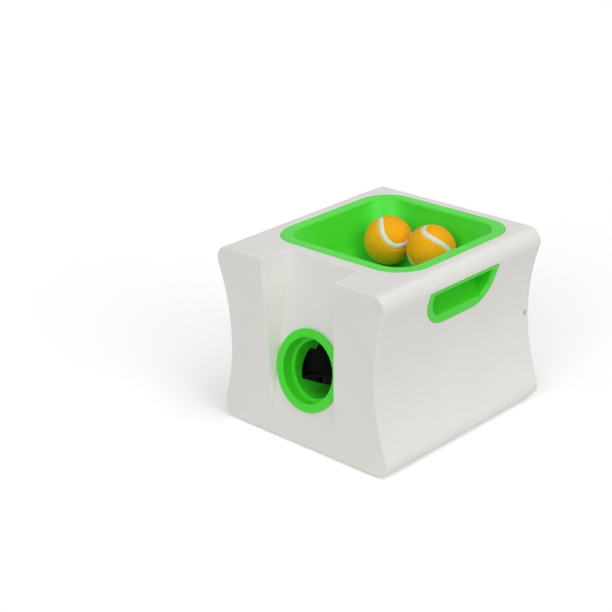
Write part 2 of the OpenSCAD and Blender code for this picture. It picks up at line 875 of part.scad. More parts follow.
// Tilted deck on four legs, which carries the motors and the trough
module launch_frame() {
    color(GREY) difference() {
        union() {
            launch_space() {
                block([-deck_half, deck_front, deck_top - deck_t], [deck_half, deck_rear, deck_top]);
                block([-deck_slot - bridge_t, bridge_front, -bridge_low - bridge_t],
                    [deck_slot + bridge_t, bridge_rear, deck_top]);
            }
            for (x = [-1, 1], y = leg_y)
                translate([x * leg_x, launch_y(y, deck_top - deck_t / 2), 0])
                    rod_z(leg_r, base_top, launch_z(y, deck_top - deck_t / 2));
        }
        legs() rod_z(pilot_r, base_top - 1, base_top + pilot_l);
        launch_space() {
            block([-deck_slot, deck_front - 1, -bridge_low], [deck_slot, deck_rear + 1, deck_top + 1]);
            for (x = [-1, 1])
                translate([x * wheel_x, nip_depth, 0]) {
                    deck_hole(motor_boss_r + head_gap);
                    for (y = [-1, 1])
                        translate([0, y * motor_screw_off, 0]) deck_hole(clear_r);
                }
            trough_feet() deck_hole(pilot_r);
            bracket_feet() deck_hole(pilot_r);
        }
    }
}

module deck_hole(r) {
    rod_z(r, deck_top - deck_t - 1, deck_top + 1);
}

// Repeats its children at the screws of the trough, and of the feed bracket, on the deck
module trough_feet() {
    for (x = [-1, 1], y = foot_screw_y)
        translate([x * (cheek_x + cheek_t + foot_w / 2), y, 0]) children();
}

module bracket_feet() {
    for (y = [-1, 1])
        translate([bracket_x + bracket_t + bracket_foot / 2, pivot_y + y * (bracket_half - bracket_in), 0])
            children();
}

module frame_screws() {
    color(STEEL) legs() translate([0, 0, ground_z + head_h]) mirror([0, 0, 1]) screw(screw_l);
}

// Wheel motor under the deck, with a boss around its shaft
module wheel_motor(side) {
    top = deck_top - deck_t;
    color(STEEL) launch_space() translate([side * wheel_x, nip_depth, 0]) difference() {
        union() {
            rod_z(motor_d / 2, top - motor_l, top);
            rod_z(motor_boss_r, top - eps, deck_top);
            for (y = [-1, 1])
                translate([-terminal_w / 2, y * terminal_y - terminal_l / 2, top - motor_l - terminal_h])
                    cube([terminal_w, terminal_l, terminal_h + eps]);
        }
        rod_z(motor_shaft_r + running, top - motor_bore_l, deck_top + 1);
        for (y = [-1, 1])
            translate([0, y * motor_screw_off, 0]) rod_z(pilot_r, top - motor_screw_l - 1, top + 1);
    }
}

module left_motor() {
    wheel_motor(-1);
}

module right_motor() {
    wheel_motor(1);
}

module motor_shaft(side) {
    color(STEEL) launch_space() translate([side * wheel_x, nip_depth, 0])
        rod_z(motor_shaft_r, deck_top - deck_t - motor_bore_l + shaft_gap, wheel_w / 2 - hub_step);
}

module left_motor_shaft() {
    motor_shaft(-1);
}

module right_motor_shaft() {
    motor_shaft(1);
}

// Hub with a rim, a web with holes and a boss on the motor's shaft
module wheel_hub(side) {
    rim = wheel_r - tyre_t;
    web_holes = 6;
    color(GREY) launch_space() translate([side * wheel_x, nip_depth, 0]) difference() {
        union() {
            difference() {
                rod_z(rim, hub_step - wheel_w / 2, wheel_w / 2 - hub_step);
                rod_z(rim - hub_rim_t, -wheel_w, wheel_w);
            }
            rod_z(rim - hub_rim_t / 2, -hub_web_t / 2, hub_web_t / 2);
            rod_z(hub_boss_r, -wheel_w / 2 - hub_step, wheel_w / 2 - 2 * hub_step);
        }
        rod_z(motor_shaft_r + seat, -wheel_w, wheel_w);
        for (i = [1:web_holes])
            rotate([0, 0, 360 * i / web_holes])
                translate([(rim - hub_rim_t + hub_boss_r) / 2, 0, 0])
                    rod_z(hub_hole_r, -hub_web_t, hub_web_t);
    }
}

module left_wheel_hub() {
    wheel_hub(-1);
}

module right_wheel_hub() {
    wheel_hub(1);
}

// Rubber tyre with grooves along its axis
module tyre(side) {
    color(BLACK) launch_space() translate([side * wheel_x, nip_depth, 0]) difference() {
        rod_z(wheel_r, -wheel_w / 2, wheel_w / 2);
        rod_z(wheel_r - tyre_t + seat, -wheel_w, wheel_w);
        for (i = [1:tyre_grooves])
            rotate([0, 0, 360 * i / tyre_grooves])
                block([wheel_r - groove_d, -groove_w / 2, -wheel_w], [wheel_r + 1, groove_w / 2, wheel_w]);
    }
}

module left_tyre() {
    tyre(-1);
}

module right_tyre() {
    tyre(1);
}

module motor_screws() {
    color(STEEL) launch_space() for (x = [-1, 1], y = [-1, 1])
        translate([x * wheel_x, nip_depth + y * motor_screw_off, deck_top]) screw(deck_t + motor_screw_l);
}

// Tube from the hopper's spigot down to the trough, with a sensor hole in each side
module drop_chute() {
    color(GREY) translate([0, chute_y, 0]) difference() {
        rod_z(chute_r + chute_t, chute_low, chute_top);
        rod_z(chute_r, chute_low - 1, chute_top + 1);
        translate([0, 0, sensor_z]) rod_x(sensor_hole_r, -2 * chute_r, 2 * chute_r);
    }
}

// Sensor block on the chute, with its eye in the chute's hole
module ball_sensor(side) {
    seat_x = chute_r + chute_t;
    color(BLACK) translate([0, chute_y, sensor_z]) mirror([side < 0 ? 1 : 0, 0, 0]) union() {
        difference() {
            block([chute_r, -sensor_w / 2, -sensor_h / 2], [seat_x + sensor_t, sensor_w / 2, sensor_h / 2]);
            rod_z(seat_x + skin, -sensor_h, sensor_h);
        }
        rod_x(sensor_hole_r - skin, chute_r, seat_x + 1);
    }
}

module sensor_emitter() {
    ball_sensor(-1);
}

module sensor_receiver() {
    ball_sensor(1);
}

// Half-round trough between two cheeks that carry the feed shaft
module ball_trough() {
    slot = arm_w / 2 + arm_room;
    slot_y = pivot_y - arm_slot;
    color(GREY) launch_space() difference() {
        union() {
            rod_y(trough_r + trough_t, trough_front, trough_rear);
            for (x = [-1, 1]) {
                side_block(x, trough_r, cheek_x + cheek_t, trough_front, trough_rear, -trough_t, 0);
                side_block(x, cheek_x, cheek_x + cheek_t, trough_front, cheek_rear, deck_top, 0);
                side_block(x, cheek_x, cheek_x + cheek_t + foot_w, foot_start, foot_start + foot_l,
                    deck_top, deck_top + foot_t);
                translate([0, pivot_y, pivot_z]) rod_x(cheek_eye_r, min(x * cheek_x, x * (cheek_x + cheek_t)),
                    max(x * cheek_x, x * (cheek_x + cheek_t)));
            }
        }
        rod_y(trough_r, trough_front - 1, trough_rear - trough_end_t);
        block([-cheek_x - eps, trough_front - 1, 0], [cheek_x + eps, cheek_rear, 2 * trough_r]);
        block([-slot, slot_y, -2 * trough_r], [slot, cheek_rear, trough_r]);
        translate([0, pivot_y, pivot_z]) rod_x(feed_shaft_r + running, -2 * cheek_x, 2 * cheek_x);
        trough_feet() rod_z(clear_r, deck_top - 1, deck_top + foot_t + 1);
    }
}

// Block on one side of the middle plane, between distances x0 and x1 from it
module side_block(side, x0, x1, y0, y1, z0, z1) {
    mirror([side < 0 ? 1 : 0, 0, 0]) block([x0, y0, z0], [x1, y1, z1]);
}

module trough_screws() {
    color(STEEL) launch_space() trough_feet() translate([0, 0, deck_top + foot_t]) screw(foot_t + deck_t);
}

module feed_shaft() {
    color(STEEL) launch_space() translate([0, pivot_y, pivot_z])
        rod_x(feed_shaft_r, -cheek_x - cheek_t - cheek_t, gear_x + gear_w + clip_t);
}

// Arm that pushes a ball from the trough to the wheels, drawn pointing to the rear
module feed_arm() {
    color(NYLON) launch_space() translate([0, pivot_y, pivot_z]) difference() {
        union() {
            rod_x(arm_hub_r, -arm_w / 2, arm_w / 2);
            block([-arm_w / 2, 0, -arm_t / 2], [arm_w / 2, arm_l - arm_t / 2, arm_t / 2]);
            translate([0, arm_l - arm_t / 2, 0]) rod_x(arm_t / 2, -arm_w / 2, arm_w / 2);
        }
        rod_x(feed_shaft_r + seat, -arm_w, arm_w);
    }
}

// Clips that keep the feed shaft in the cheeks
module shaft_clips() {
    outside = cheek_x + cheek_t + fit;
    color(STEEL) launch_space() translate([0, pivot_y, pivot_z]) for (x = [-1, 1])
        mirror([x < 0 ? 1 : 0, 0, 0]) difference() {
            rod_x(feed_shaft_r + clip_w, outside, outside + clip_t);
            rod_x(feed_shaft_r + seat, outside - 1, outside + clip_t + 1);
        }
}

module feed_gear() {
    color(NYLON) launch_space() translate([gear_x, pivot_y, pivot_z])
        rotate([90, 0, 90]) spur(gear_teeth, gear_w, feed_shaft_r + seat);
}

module feed_pinion() {
    color(NYLON) launch_space() translate([gear_x, pivot_y, feed_motor_z])
        rotate([90, 0, 90]) rotate([0, 0, 180 / pinion_teeth])
            spur(pinion_teeth, gear_w, feed_motor_shaft_r + seat);
}

module feed_motor() {
    face = bracket_x + bracket_t;
    color(STEEL) launch_space() translate([0, pivot_y, feed_motor_z]) difference() {
        union() {
            rod_x(feed_motor_d / 2, face, face + feed_motor_l);
            rod_x(feed_motor_boss_r, bracket_x, face + eps);
        }
        rod_x(feed_motor_shaft_r + running, bracket_x - 1, face + feed_motor_bore);
        for (y = [-1, 1])
            translate([0, y * feed_screw_off, 0]) rod_x(small_pilot_r, face - 1, face + small_screw_l + 1);
    }
}

module feed_motor_shaft() {
    color(STEEL) launch_space() translate([0, pivot_y, feed_motor_z])
        rod_x(feed_motor_shaft_r, gear_x - clip_t, bracket_x + bracket_t + feed_motor_bore - shaft_gap);
}

// Upright plate on the deck that holds the feed motor
module feed_bracket() {
    color(GREY) launch_space() difference() {
        union() {
            block([bracket_x, pivot_y - bracket_half, deck_top],
                [bracket_x + bracket_t, pivot_y + bracket_half, feed_motor_z + bracket_half]);
            block([bracket_x, pivot_y - bracket_half, deck_top],
                [bracket_x + bracket_t + bracket_foot, pivot_y + bracket_half, deck_top + bracket_t]);
        }
        translate([0, pivot_y, feed_motor_z]) {
            rod_x(feed_motor_boss_r + skin, bracket_x - 1, bracket_x + bracket_t + 1);
            for (y = [-1, 1])
                translate([0, y * feed_screw_off, 0])
                    rod_x(small_clear_r, bracket_x - 1, bracket_x + bracket_t + 1);
        }
        bracket_feet() rod_z(clear_r, deck_top - 1, deck_top + bracket_t + 1);
    }
}

module feed_screws() {
    color(STEEL) launch_space() {
        bracket_feet() translate([0, 0, deck_top + bracket_t]) screw(bracket_t + deck_t);
        for (y = [-1, 1])
            translate([bracket_x, pivot_y + y * feed_screw_off, feed_motor_z])
                rotate([0, -90, 0]) screw(bracket_t + small_screw_l, small_screw_r, small_head_r);
    }
}

module control_board() {
    color(BOARD) difference() {
        block([-board_half_w, board_y - board_t, panel_z - board_h / 2],
            [board_half_w, board_y, panel_z + board_h / 2]);
        board_corners() rod_y(small_clear_r, board_y - board_t - 1, board_y + 1);
    }
}

// Chips, capacitors and connectors on the inner face of the board
module board_parts() {
    face = board_y - board_t;
    low = panel_z - board_h / 2;
    color(BLACK) {
        translate([button_x[1], 0, low + chip_up])
            block([-chip_w / 2, face - chip_t, -chip_h / 2], [chip_w / 2, face, chip_h / 2]);
        for (x = capacitor_x)
            translate([x, 0, low + capacitor_up]) rod_y(capacitor_r, face - capacitor_l, face);
        for (x = connector_x)
            block([x - connector_half, connector_y, connector_z - connector_half],
                [x + connector_half, face, connector_z + connector_half]);
    }
}

module board_screws() {
    color(STEEL) board_corners() translate([0, board_y - board_t, 0])
        rotate([90, 0, 0]) screw(board_t + board_screw_l, small_screw_r, board_head_r);
}

module tact_switches() {
    color(BLACK) for (x = button_x)
        translate([x, 0, button_z]) {
            block([-switch_w / 2, board_y, -switch_w / 2], [switch_w / 2, board_y + switch_h, switch_w / 2]);
            rod_y(plunger_r, board_y + switch_h - eps, board_y + switch_h + plunger_h);
        }
}

// Button with a flange behind the panel and a stem towards its switch
module push_button(x, tint) {
    stem_y = board_y + switch_h + plunger_h + button_travel + skin;
    back = panel_y - panel_t - button_gap;
    color(tint) translate([x, 0, button_z]) {
        rod_y(button_r, back - eps, panel_y + button_proud);
        rod_y(button_r + button_flange, back - button_flange, back);
        rod_y(button_stem_r, stem_y, back - button_flange + eps);
    }
}

module power_button() {
    push_button(button_x[0], GREEN);
}

module distance_button() {
    push_button(button_x[1], GREY);
}

module status_lights() {
    color("lightcyan") for (x = light_x)
        translate([x, 0, light_z]) rod_y(light_r, board_y, panel_y + light_proud);
}

// Barrel socket for the supply lead, with its centre pin
module dc_socket() {
    color(BLACK) translate([socket_x, 0, button_z]) {
        difference() {
            union() {
                block([-socket_half, board_y, -socket_half],
                    [socket_half, panel_y - panel_t - skin, socket_half]);
                rod_y(socket_half, panel_y - panel_t - skin - eps, panel_y + light_proud);
            }
            rod_y(socket_r, panel_y + light_proud - socket_l, panel_y + 1);
        }
        rod_y(socket_pin_r, panel_y - socket_l, panel_y - 1);
    }
}

// Open tray with three shelves of two cells each, loaded from the rear
module battery_tray() {
    low = tray_low;
    high = tray_low + 2 * tray_t + tray_in_h;
    color(BLACK) difference() {
        block([-tray_half - tray_t, tray_y, low], [tray_half + tray_t, cover_in, high]);
        for (row = rows) {
            floor_z = low + tray_t + row * row_step;
            block([-tray_half, tray_y + tray_t, floor_z], [tray_half, rear_y, floor_z + row_step - shelf_t]);
        }
    }
}

function row_z(row) = tray_low + tray_t + cell_gap + cell_r + row * row_step;

module battery_cells() {
    color("darkslategray") for (row = rows, x = [-1, 1])
        translate([0, cell_y, row_z(row)]) mirror([x < 0 ? 1 : 0, 0, 0]) {
            rod_x(cell_r, cell_gap / 2, cell_l - cell_nub_l);
            rod_x(cell_r / 3, cell_l - cell_nub_l - eps, cell_l);
        }
}

// Sprung contacts between the cells' ends and the tray's sides
module battery_contacts() {
    color(BRASS) for (row = rows, x = [-1, 1])
        translate([0, cell_y, row_z(row)]) mirror([x < 0 ? 1 : 0, 0, 0]) {
            block([tray_half - contact_t, -contact_w / 2, -contact_w / 2],
                [tray_half, contact_w / 2, contact_w / 2]);
            translate([cell_l + cell_gap, 0, 0]) rotate([0, 90, 0])
                cylinder(r1 = spring_r, r2 = spring_foot_r, h = contact_l - contact_t + eps);
        }
}

module battery_door() {
    color(WHITE) difference() {
        union() {
            block([-door_half, rear_y - door_t, door_low], [door_half, rear_y, door_high]);
            block([-door_ear, rear_y - door_t, door_high - 1], [door_ear, rear_y, door_high + door_ear]);
        }
        translate([0, 0, door_screw_z]) {
            rod_y(clear_r, rear_y - door_t - 1, rear_y + 1);
            rod_y(head_r + head_gap, rear_y - door_head_sink, rear_y + 1);
        }
    }
}

module door_screw() {
    color(STEEL) translate([0, 0, door_screw_z]) {
        rod_y(head_r, rear_y - door_head_sink, rear_y - door_head_sink + door_head_t);
        rod_y(screw_r, rear_y - door_head_sink - door_screw_l, rear_y - door_head_sink + eps);
    }
}

// Point on a smooth curve through four points, between the second and the third
function between(a, b, c, d, t) =
    0.5 * (2 * b + (c - a) * t + (2 * a - 5 * b + 4 * c - d) * t * t + (3 * b - a - 3 * c + d) * t * t * t);

function unit(v) = v / norm(v);

// Points along a route: straight first and last stretches, and a curve through the points between them
function smooth(route) = let (last = len(route) - 1) concat(
    [route[0]],
    [for (i = [1:last - 2], k = [0:wire_steps - 1])
        between(route[i - 1], route[i], route[i + 1], route[i + 2], k / wire_steps)],
    [route[last - 1], route[last]]);

// Round wire swept along a route
module wire(route) {
    path = smooth(route);
    last = len(path) - 1;
    reference = unit([0.2, 0.3, 0.9]);
    function heading(i) = unit(path[min(i + 1, last)] - path[max(i - 1, 0)]);
    function ring(i) = let (ahead = heading(i), across = unit(cross(ahead, reference)),
        up = cross(ahead, across)) [for (k = [0:wire_sides - 1])
            path[i] + wire_r * (cos(360 * k / wire_sides) * across + sin(360 * k / wire_sides) * up)];
    points = [for (i = [0:last]) each ring(i)];
    start = [for (k = [0:wire_sides - 1]) k];
    end = [for (k = [wire_sides - 1:-1:0]) last * wire_sides + k];
    sides = [for (i = [0:last - 1], k = [0:wire_sides - 1]) let (next = (k + 1) % wire_sides) each [
        [i * wire_sides + k, (i + 1) * wire_sides + k, i * wire_sides + next],
        [i * wire_sides + next, (i + 1) * wire_sides + k, (i + 1) * wire_sides + next]]];
    polyhedron(points, concat([start, end], sides));
}

module wires() {
    color(BLACK) for (route = wire_routes)
        wire(route);
}

module hopper_ball(x, y) {
    color(ORANGE) translate([x, y, ball_z]) sphere(ball_r);
}

module ball_1() {
    hopper_ball(ball_x, hopper_y + ball_y);
}

module ball_2() {
    step = ball_d + ball_gap;
    hopper_ball(ball_x + step * cos(ball_turn), hopper_y + ball_y + step * sin(ball_turn));
}

shell();
rear_cover();
base_plate();
hopper();
nozzle();
nozzle_retainer();
handle_cup_right();
handle_cup_left();
rubber_feet();
base_screws();
side_screws();
launch_frame();
frame_screws();
left_motor();
right_motor();
left_motor_shaft();
right_motor_shaft();
left_wheel_hub();
right_wheel_hub();
left_tyre();
right_tyre();
motor_screws();
drop_chute();
sensor_emitter();
sensor_receiver();
ball_trough();
trough_screws();
feed_shaft();
feed_arm();
shaft_clips();
feed_gear();
feed_pinion();
feed_motor();
feed_motor_shaft();
feed_bracket();
feed_screws();
control_board();
board_parts();
board_screws();
tact_switches();
power_button();
distance_button();
status_lights();
dc_socket();
battery_tray();
battery_cells();
battery_contacts();
battery_door();
door_screw();
wires();
ball_1();
ball_2();
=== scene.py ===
"""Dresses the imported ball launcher: camera, light, materials and finer surfaces over the CAD frame.

Lengths are in millimetres and angles in degrees, unless a line says otherwise.
"""
import json
import math

import bmesh
import bpy
from mathutils import Euler, Matrix, Vector, noise

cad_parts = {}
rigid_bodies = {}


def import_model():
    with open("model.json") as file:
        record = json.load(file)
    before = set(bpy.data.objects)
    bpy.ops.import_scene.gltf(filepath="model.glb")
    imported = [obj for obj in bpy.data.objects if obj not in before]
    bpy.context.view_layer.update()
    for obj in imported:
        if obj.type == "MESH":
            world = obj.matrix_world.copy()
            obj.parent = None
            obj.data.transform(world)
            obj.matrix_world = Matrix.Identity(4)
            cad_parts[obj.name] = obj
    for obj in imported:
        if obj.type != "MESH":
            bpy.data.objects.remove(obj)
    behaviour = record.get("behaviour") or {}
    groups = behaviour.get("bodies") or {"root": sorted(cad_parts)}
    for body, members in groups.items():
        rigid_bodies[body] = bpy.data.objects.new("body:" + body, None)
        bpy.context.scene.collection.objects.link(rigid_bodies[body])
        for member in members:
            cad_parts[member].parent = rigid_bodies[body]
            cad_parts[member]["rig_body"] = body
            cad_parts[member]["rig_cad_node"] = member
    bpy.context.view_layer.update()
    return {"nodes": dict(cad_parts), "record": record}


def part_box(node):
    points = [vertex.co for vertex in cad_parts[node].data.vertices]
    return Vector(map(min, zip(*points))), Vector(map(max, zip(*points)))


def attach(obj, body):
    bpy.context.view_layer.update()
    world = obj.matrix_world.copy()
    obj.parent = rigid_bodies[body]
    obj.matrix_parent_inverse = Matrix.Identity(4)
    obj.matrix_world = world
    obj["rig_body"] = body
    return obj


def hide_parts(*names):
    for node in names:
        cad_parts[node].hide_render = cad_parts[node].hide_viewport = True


MM = 0.001
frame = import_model()
scene = bpy.context.scene
scene.view_settings.view_transform = "Standard"


# Camera, fitted to the body's edges in the photograph
CAMERA_AT = Vector((994.2, -1099.3, 743.3)) * MM
AZIMUTH = math.radians(45.01)
ELEVATION = math.radians(22.98)
ROLL = math.radians(-2.21)
SENSOR_W = 36
LENS = 94.6

camera_data = bpy.data.cameras.new("camera")
camera_data.sensor_width = SENSOR_W
camera_data.lens = LENS
camera = bpy.data.objects.new("camera", camera_data)
scene.collection.objects.link(camera)
scene.camera = camera
level = math.cos(ELEVATION)
back = Vector((math.sin(AZIMUTH) * level, -math.cos(AZIMUTH) * level, math.sin(ELEVATION)))
right = Vector((math.cos(AZIMUTH), math.sin(AZIMUTH), 0))
up = back.cross(right)
rolled_right = right * math.cos(ROLL) + up * math.sin(ROLL)
rolled_up = up * math.cos(ROLL) - right * math.sin(ROLL)
turn = Matrix((rolled_right, rolled_up, back)).transposed()
camera.matrix_world = Matrix.Translation(CAMERA_AT) @ turn.to_4x4()


# Materials
NOISE_LOW, NOISE_HIGH = 0.3, 0.7
GRAIN_DETAIL = 2.0
BUMP_STRENGTH = 0.35


def add(tree, kind, inputs=None, **settings):
    """Adds a node; inputs holds plain values or output sockets to link."""
    made = tree.nodes.new(kind)
    for key, value in settings.items():
        setattr(made, key, value)
    for key, value in (inputs or {}).items():
        if isinstance(value, bpy.types.NodeSocket):
            tree.links.new(value, made.inputs[key])
        else:
            made.inputs[key].default_value = value
    return made


def noise_at(tree, scale, detail, stretch=None):
    """Noise over the object's own coordinates, in features per metre."""
    place = add(tree, "ShaderNodeTexCoord").outputs["Object"]
    if stretch:
        place = add(tree, "ShaderNodeMapping", {"Vector": place, "Scale": stretch}).outputs["Vector"]
    made = add(tree, "ShaderNodeTexNoise", {"Vector": place, "Scale": scale, "Detail": detail})
    return made.outputs["Fac"]


def blend(tree, factor, first, second):
    """Mixes two colours by a factor socket."""
    mix = add(tree, "ShaderNodeMix", data_type="RGBA")
    tree.links.new(factor, mix.inputs["Factor"])
    mix.inputs["A"].default_value = (*first, 1)
    mix.inputs["B"].default_value = (*second, 1)
    return mix.outputs["Result"]


def spread(tree, factor, low, high):
    """Maps the middle of a noise to a range of values."""
    limits = {"From Min": NOISE_LOW, "From Max": NOISE_HIGH, "To Min": low, "To Max": high}
    return add(tree, "ShaderNodeMapRange", {"Value": factor, **limits}).outputs["Result"]


def surface(name, colour, second, rough, patch=18, detail=3.0, grain=900, height=0.02, stretch=None,
            **sockets):
    """Principled material: two colours in patches, and a fine grain in its roughness and its bump."""
    made = bpy.data.materials.new(name)
    made.use_nodes = True
    tree = made.node_tree
    shade = tree.nodes["Principled BSDF"]
    patches = noise_at(tree, patch, detail)
    tree.links.new(blend(tree, spread(tree, patches, 0, 1), colour, second), shade.inputs["Base Color"])
    fine = noise_at(tree, grain, GRAIN_DETAIL, stretch)
    tree.links.new(spread(tree, fine, *rough), shade.inputs["Roughness"])
    bump = add(tree, "ShaderNodeBump", {"Height": fine, "Strength": BUMP_STRENGTH, "Distance": height * MM})
    tree.links.new(bump.outputs["Normal"], shade.inputs["Normal"])
    for key, value in sockets.items():
        shade.inputs[key.replace("_", " ")].default_value = value
    made.diffuse_color = (*colour, 1)
    return made


# Two colours and a range of roughness each; patch and grain are features per metre
SURFACES = {
    "white_shell": dict(colour=(0.80, 0.787, 0.752), second=(0.775, 0.762, 0.727), rough=(0.36, 0.46),
                        grain=1400, height=0.015),
    "green_plastic": dict(colour=(0.055, 0.70, 0.024), second=(0.07, 0.74, 0.032), rough=(0.34, 0.44),
                          grain=1100, Specular_IOR_Level=0.35),
    "dark_plastic": dict(colour=(0.03, 0.03, 0.034), second=(0.04, 0.04, 0.043), rough=(0.5, 0.65),
                         height=0.04),
    "grey_plastic": dict(colour=(0.055, 0.057, 0.06), second=(0.07, 0.072, 0.075), rough=(0.45, 0.6),
                         height=0.04),
    "nylon": dict(colour=(0.80, 0.78, 0.70), second=(0.74, 0.71, 0.62), rough=(0.38, 0.5)),
    "steel": dict(colour=(0.58, 0.59, 0.60), second=(0.50, 0.51, 0.52), rough=(0.24, 0.42),
                  grain=500, height=0.01, stretch=(1, 1, 14), Metallic=1.0),
    "black_rubber": dict(colour=(0.007, 0.007, 0.008), second=(0.012, 0.012, 0.012), rough=(0.75, 0.95),
                         grain=700, height=0.08, Specular_IOR_Level=0.2),
    "circuit_board": dict(colour=(0.02, 0.17, 0.06), second=(0.03, 0.22, 0.08), rough=(0.25, 0.4),
                          patch=160, grain=600),
    "brass": dict(colour=(0.72, 0.52, 0.20), second=(0.62, 0.43, 0.16), rough=(0.22, 0.36),
                  grain=500, height=0.01, stretch=(14, 1, 1), Metallic=1.0),
    "cell_wrap": dict(colour=(0.05, 0.08, 0.10), second=(0.06, 0.10, 0.12), rough=(0.22, 0.32),
                      Coat_Weight=0.4),
    "light_pipe": dict(colour=(0.80, 0.93, 0.90), second=(0.74, 0.90, 0.86), rough=(0.08, 0.16),
                       grain=300, Transmission_Weight=0.7, IOR=1.49),
    "ball_felt": dict(colour=(1.0, 0.49, 0.010), second=(0.95, 0.37, 0.005), rough=(0.9, 1.0),
                      patch=420, detail=6.0, grain=1600, height=0.5, Specular_IOR_Level=0.15,
                      Sheen_Weight=0.3, Sheen_Roughness=0.6, Sheen_Tint=(1.0, 0.62, 0.08, 1.0)),
    "seam_rubber": dict(colour=(0.80, 0.77, 0.62), second=(0.74, 0.70, 0.54), rough=(0.6, 0.8),
                        patch=200, height=0.1),
}
MATERIALS = {name: surface(name, **values) for name, values in SURFACES.items()}


def paint(piece, slot, material=None):
    """Gives a piece its record slot, and the material of that name or another."""
    piece.data.materials.clear()
    piece.data.materials.append(MATERIALS[material or slot])


NODE_SLOT = {part["node"]: part["material_slot"] for part in frame["record"]["subparts"]}
for node, item in frame["nodes"].items():
    paint(item, NODE_SLOT[node])


# Pieces: points nearer than WELD are one, and faces within FLAT_ANGLE are one before the edges are rounded
WELD = 0.002
FLAT_ANGLE = math.radians(0.4)
SHARP_ANGLE = math.radians(35)
INNER_SHARE = 0.4
ROUND_SEGMENTS = 3
ROUND_WEIGHT = 80
# Least upward lean of a wall's normal that isn't an opening's upper wall
CEILING_Z = -0.5


def piece_from(bm, name, body, slot, nodes=(), material=None):
    """Makes an object from a bmesh, riding on a body and standing for the named nodes."""
    mesh = bpy.data.meshes.new(name)
    bm.to_mesh(mesh)
    bm.free()
    made = bpy.data.objects.new(name, mesh)
    scene.collection.objects.link(made)
    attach(made, body)
    if nodes:
        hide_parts(*nodes)
    paint(made, slot, material)
    return made


def apply_within(piece, source):
    """Applies a piece's modifiers and keeps its points inside the box of the mesh that it came from."""
    shaped = bpy.data.meshes.new_from_object(piece.evaluated_get(bpy.context.evaluated_depsgraph_get()))
    piece.modifiers.clear()
    piece.data = shaped
    corners = [vert.co for vert in source.data.vertices]
    for axis in range(3):
        low = min(corner[axis] for corner in corners)
        high = max(corner[axis] for corner in corners)
        for vert in shaped.vertices:
            vert.co[axis] = min(high, max(low, vert.co[axis]))


def on_lip(edge, middle):
    """Whether an edge borders a lower or side wall that faces the middle of its piece, seen along X."""
    wall = min(edge.link_faces, key=lambda face: abs(face.normal.x))
    away = (edge.verts[0].co + edge.verts[1].co) / 2 - middle
    return wall.normal.z > CEILING_Z and wall.normal.y * away.y + wall.normal.z * away.z < 0


def rounded_copy(node, width, inner=None, lip=None):
    """Replaces a CAD node by a copy whose outer edges, inner corners and opening's lip are rounded."""
    inner = width * INNER_SHARE if inner is None else inner
    widest = max(width, inner, lip or 0)
    source = frame["nodes"][node]
    low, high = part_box(node)
    middle = (low + high) / 2
    bm = bmesh.new()
    bm.from_mesh(source.data)
    bmesh.ops.remove_doubles(bm, verts=bm.verts, dist=WELD * MM)
    bmesh.ops.dissolve_limit(bm, angle_limit=FLAT_ANGLE, verts=bm.verts, edges=bm.edges)
    weight = bm.edges.layers.float.new("bevel_weight_edge")
    for face in bm.faces:
        face.smooth = True
    for edge in bm.edges:
        if len(edge.link_faces) != 2 or edge.calc_face_angle(0) < SHARP_ANGLE:
            continue
        edge[weight] = (width if edge.is_convex else inner) / widest
        if lip and edge.is_convex and on_lip(edge, middle):
            edge[weight] = lip / widest
    made = piece_from(bm, node + "_skin", source["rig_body"], NODE_SLOT[node], [node])
    bevel = made.modifiers.new("round", "BEVEL")
    bevel.limit_method = "WEIGHT"
    bevel.width = widest * MM
    bevel.segments = ROUND_SEGMENTS
    bevel.use_clamp_overlap = False
    bevel.harden_normals = False
    apply_within(made, source)
    normals = made.modifiers.new("normals", "WEIGHTED_NORMAL")
    normals.keep_sharp = True
    normals.weight = ROUND_WEIGHT


def rings_to_mesh(rings):
    """Joins rings of equal length by quads, and the last ring to the first."""
    bm = bmesh.new()
    rows = [[bm.verts.new(point) for point in ring] for ring in rings]
    count = len(rows[0])
    for first, second in zip(rows, rows[1:] + rows[:1]):
        for i in range(count):
            k = (i + 1) % count
            bm.faces.new((first[i], first[k], second[k], second[i]))
    bmesh.ops.recalc_face_normals(bm, faces=bm.faces)
    for face in bm.faces:
        face.smooth = True
    return bm


def arc(centre, radius, start, end, steps):
    """Points of an arc in a profile's plane."""
    found = []
    for i in range(steps + 1):
        a = math.radians(start + (end - start) * i / steps)
        found.append((centre[0] + radius * math.cos(a), centre[1] + radius * math.sin(a)))
    return found


# Casing: rounding of outer edges, inner corners and an opening's lip
ROUNDING = {
    "shell": dict(width=1.2, inner=1.0),
    "handle_cup_right": dict(width=0.6, inner=3.0, lip=2.4),
    "handle_cup_left": dict(width=0.6, inner=3.0, lip=2.4),
    "rear_cover": dict(width=0.7),
    "nozzle": dict(width=0.6),
    "battery_door": dict(width=0.4),
    "power_button": dict(width=0.6),
    "distance_button": dict(width=0.6),
    "rubber_feet": dict(width=0.5),
}
for node, rounding in ROUNDING.items():
    rounded_copy(node, **rounding)


# Hopper, from its rim in to its bowl and drop hole, and back round the outside
CORNER_POINTS = 20
RING_POINTS = 4 * CORNER_POINTS
HOPPER_WEIGHT = 60
# Rim: corner radius, width, thickness, start of the side below the top, and rounded outer edge
RIM_R, RIM_W, RIM_T = 35, 12.2, 3
RIM_SIDE = 1.0
RIM_ROUND, RIM_STEPS = 0.8, 4
# Mouth inside the rim: corner radius, end of the flat top, and rounded edge down to a steep wall
MOUTH_R = 26
MOUTH_FLAT = 3.2
MOUTH_ROUND, MOUTH_BACK = 2.4, 2.2
MOUTH_END, MOUTH_STEPS = 8, 7
WALL_INSET, WALL_DEPTH = 14.7, 11
